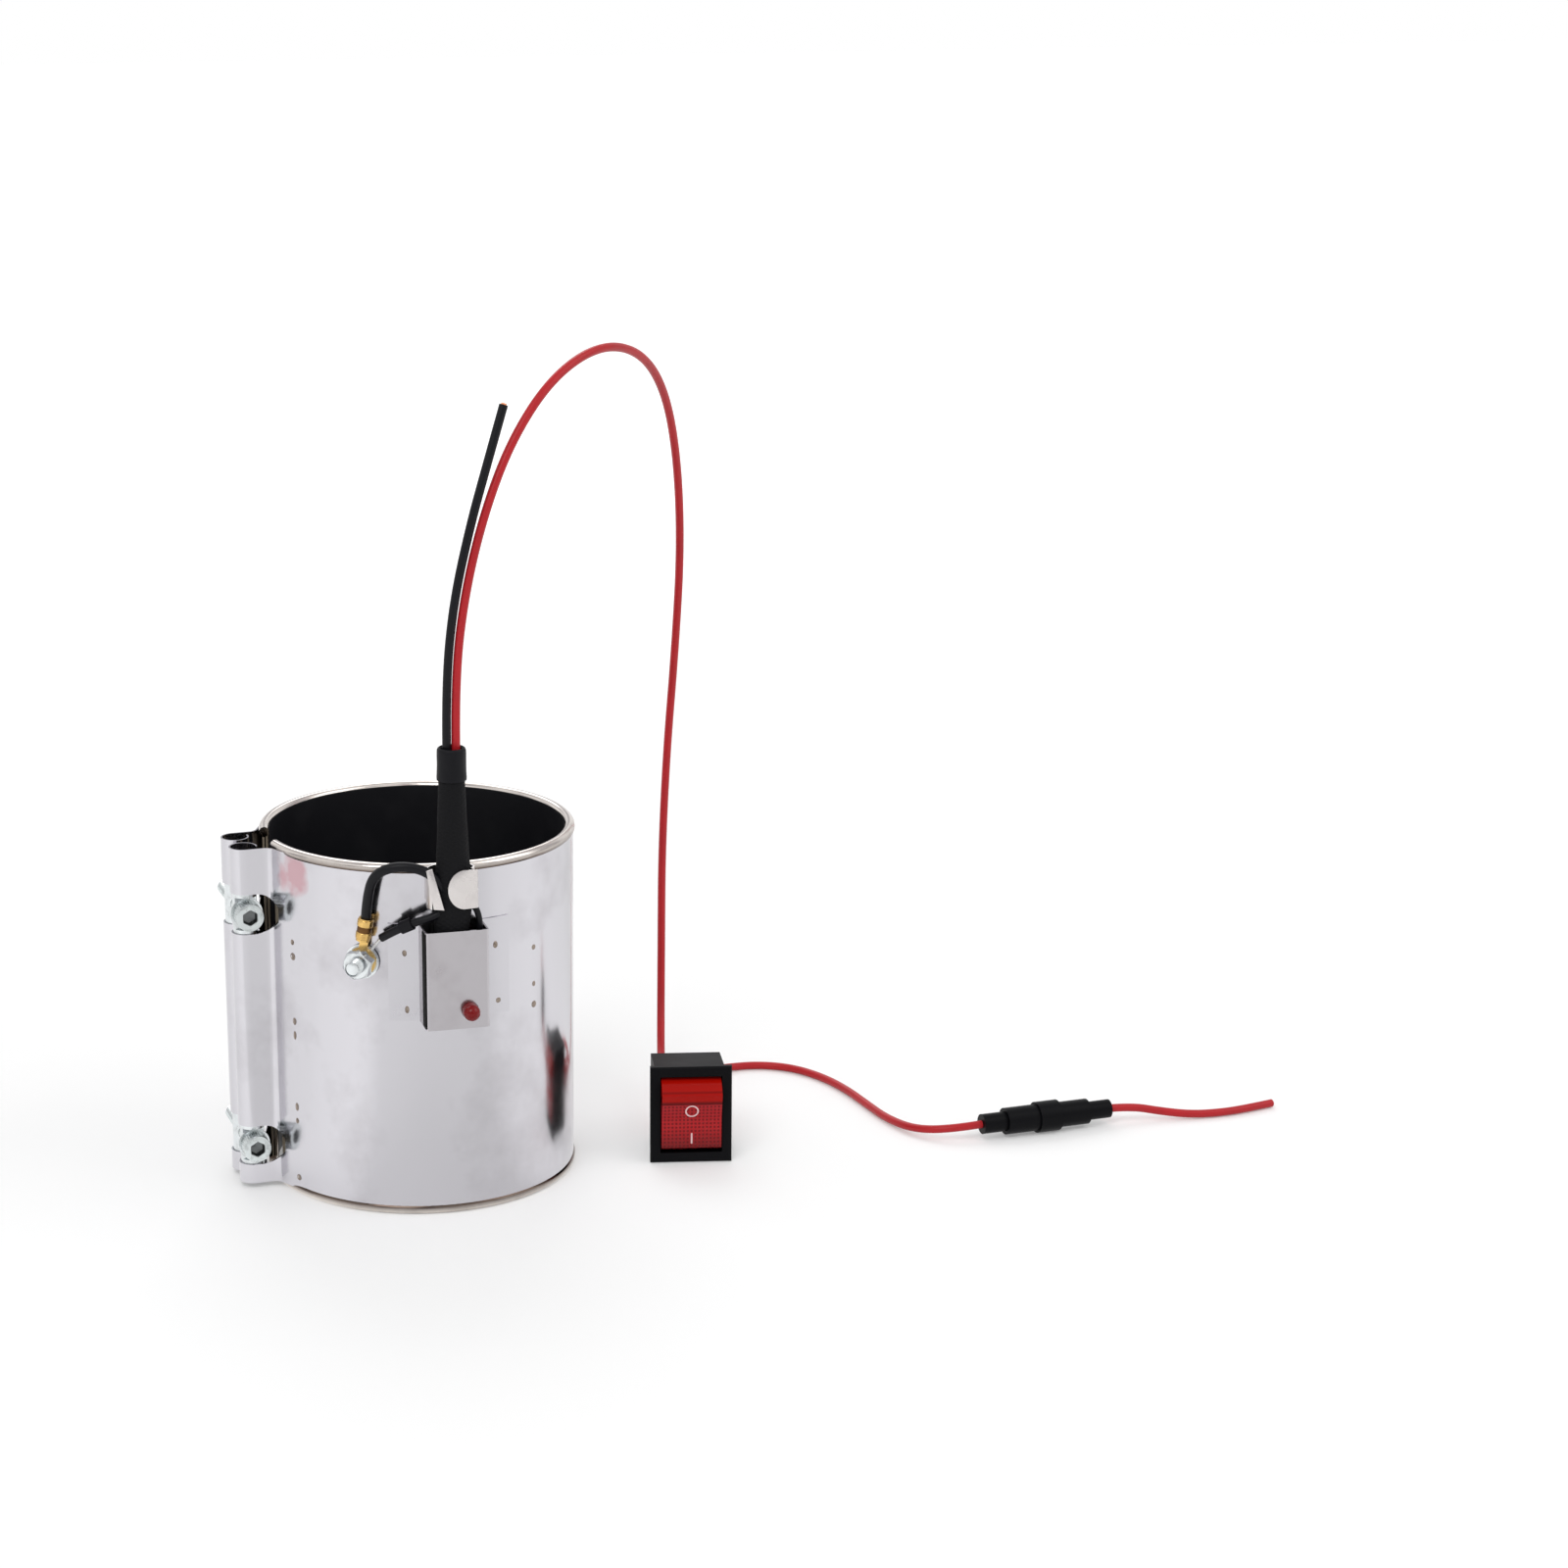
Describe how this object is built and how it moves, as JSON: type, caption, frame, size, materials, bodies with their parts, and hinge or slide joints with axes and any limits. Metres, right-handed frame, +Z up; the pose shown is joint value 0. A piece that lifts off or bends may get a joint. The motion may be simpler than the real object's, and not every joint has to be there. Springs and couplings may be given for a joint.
{
  "type": "diesel filter heater",
  "caption": "Split steel band heater that clamps round a fuel filter, with sleeved leads, rocker switch and in-line fuse holder.",
  "frame": {"origin": "on the axis of the bore, in the plane of the lower rim", "axes": "+Z up along the bore's axis; -X towards the clamp seam; the terminal housing faces -Y"},
  "size_m": [0.3367, 0.116, 0.2561],
  "materials": {
    "polished_sheet": "polished stainless sheet, lightly scuffed",
    "satin_sheet": "satin stainless strip",
    "zinc_steel": "bright zinc plate",
    "mica": "pressed mica sheet, dull",
    "resistance_alloy": "oxidised resistance ribbon",
    "red_lens": "clear red moulded lens",
    "red_rocker": "translucent red moulding",
    "red_vinyl": "soft red vinyl",
    "black_sleeve": "matt black heat-proof sleeve",
    "black_shrink": "satin shrink tube",
    "black_insulation": "smooth black insulation",
    "red_insulation": "smooth red insulation",
    "black_plastic": "moulded black plastic",
    "tinned_wire": "tinned copper strand",
    "brass": "stamped brass",
    "fuse_glass": "clear glass tube with metal caps"
  },
  "bodies": {
    "heater": {"black_core": "black_insulation", "black_lead": "black_insulation", "body_contact": "brass", "cable_sleeve": "black_sleeve", "clamp_band": "polished_sheet", "earth_lead": "black_insulation", "earth_nut": "zinc_steel", "earth_stud": "zinc_steel", "earth_washer": "zinc_steel", "feed_lead": "red_insulation", "fuse_body": "black_plastic", "glass_fuse": "fuse_glass", "heating_ribbon": "resistance_alloy", "indicator_lamp": "red_lens", "inner_sleeve": "polished_sheet", "link_lead": "black_insulation", "link_splice": "black_shrink", "link_tip": "tinned_wire", "load_blade": "brass", "load_connector": "red_vinyl", "lower_clamp_washer": "zinc_steel", "lower_head_barrel": "zinc_steel", "lower_nut_barrel": "zinc_steel", "mica_inner": "mica", "mica_outer": "mica", "red_core": "red_insulation", "red_lead": "red_insulation", "ring_terminal": "brass", "shrink_collar": "black_shrink", "sleeve_strap": "satin_sheet", "supply_blade": "brass", "supply_connector": "red_vinyl", "switch_body": "black_plastic", "terminal_housing": "polished_sheet", "thermal_cutout": "black_plastic", "upper_clamp_washer": "zinc_steel", "upper_head_barrel": "zinc_steel", "upper_nut_barrel": "zinc_steel"},
    "upper_screw": {"upper_clamp_screw": "zinc_steel"},
    "lower_screw": {"lower_clamp_screw": "zinc_steel"},
    "rocker": {"switch_rocker": "red_rocker"},
    "cap_end": {"cap_contact": "brass", "fuse_cap": "black_plastic", "tail_lead": "red_insulation"}
  },
  "joints": [
    {"name": "upper_screw_turn", "type": "hinge", "parent": "heater", "child": "upper_screw", "pos_m": [-0.0555, 0, 0.088], "axis": [0, 1, 0], "range_deg": [-720, 720]},
    {"name": "lower_screw_turn", "type": "hinge", "parent": "heater", "child": "lower_screw", "pos_m": [-0.0555, 0, 0.014], "axis": [0, 1, 0], "range_deg": [-720, 720]},
    {"name": "rocker_tilt", "type": "hinge", "parent": "heater", "child": "rocker", "pos_m": [0.08007, -0.02599, 0.01523], "axis": [-0.9659, 0.2588, 0], "range_deg": [0, 20]},
    {"name": "fuse_cap_pull", "type": "slide", "parent": "heater", "child": "cap_end", "axis": [1, 0, 0], "range_m": [0, 0.016]}
  ]
}
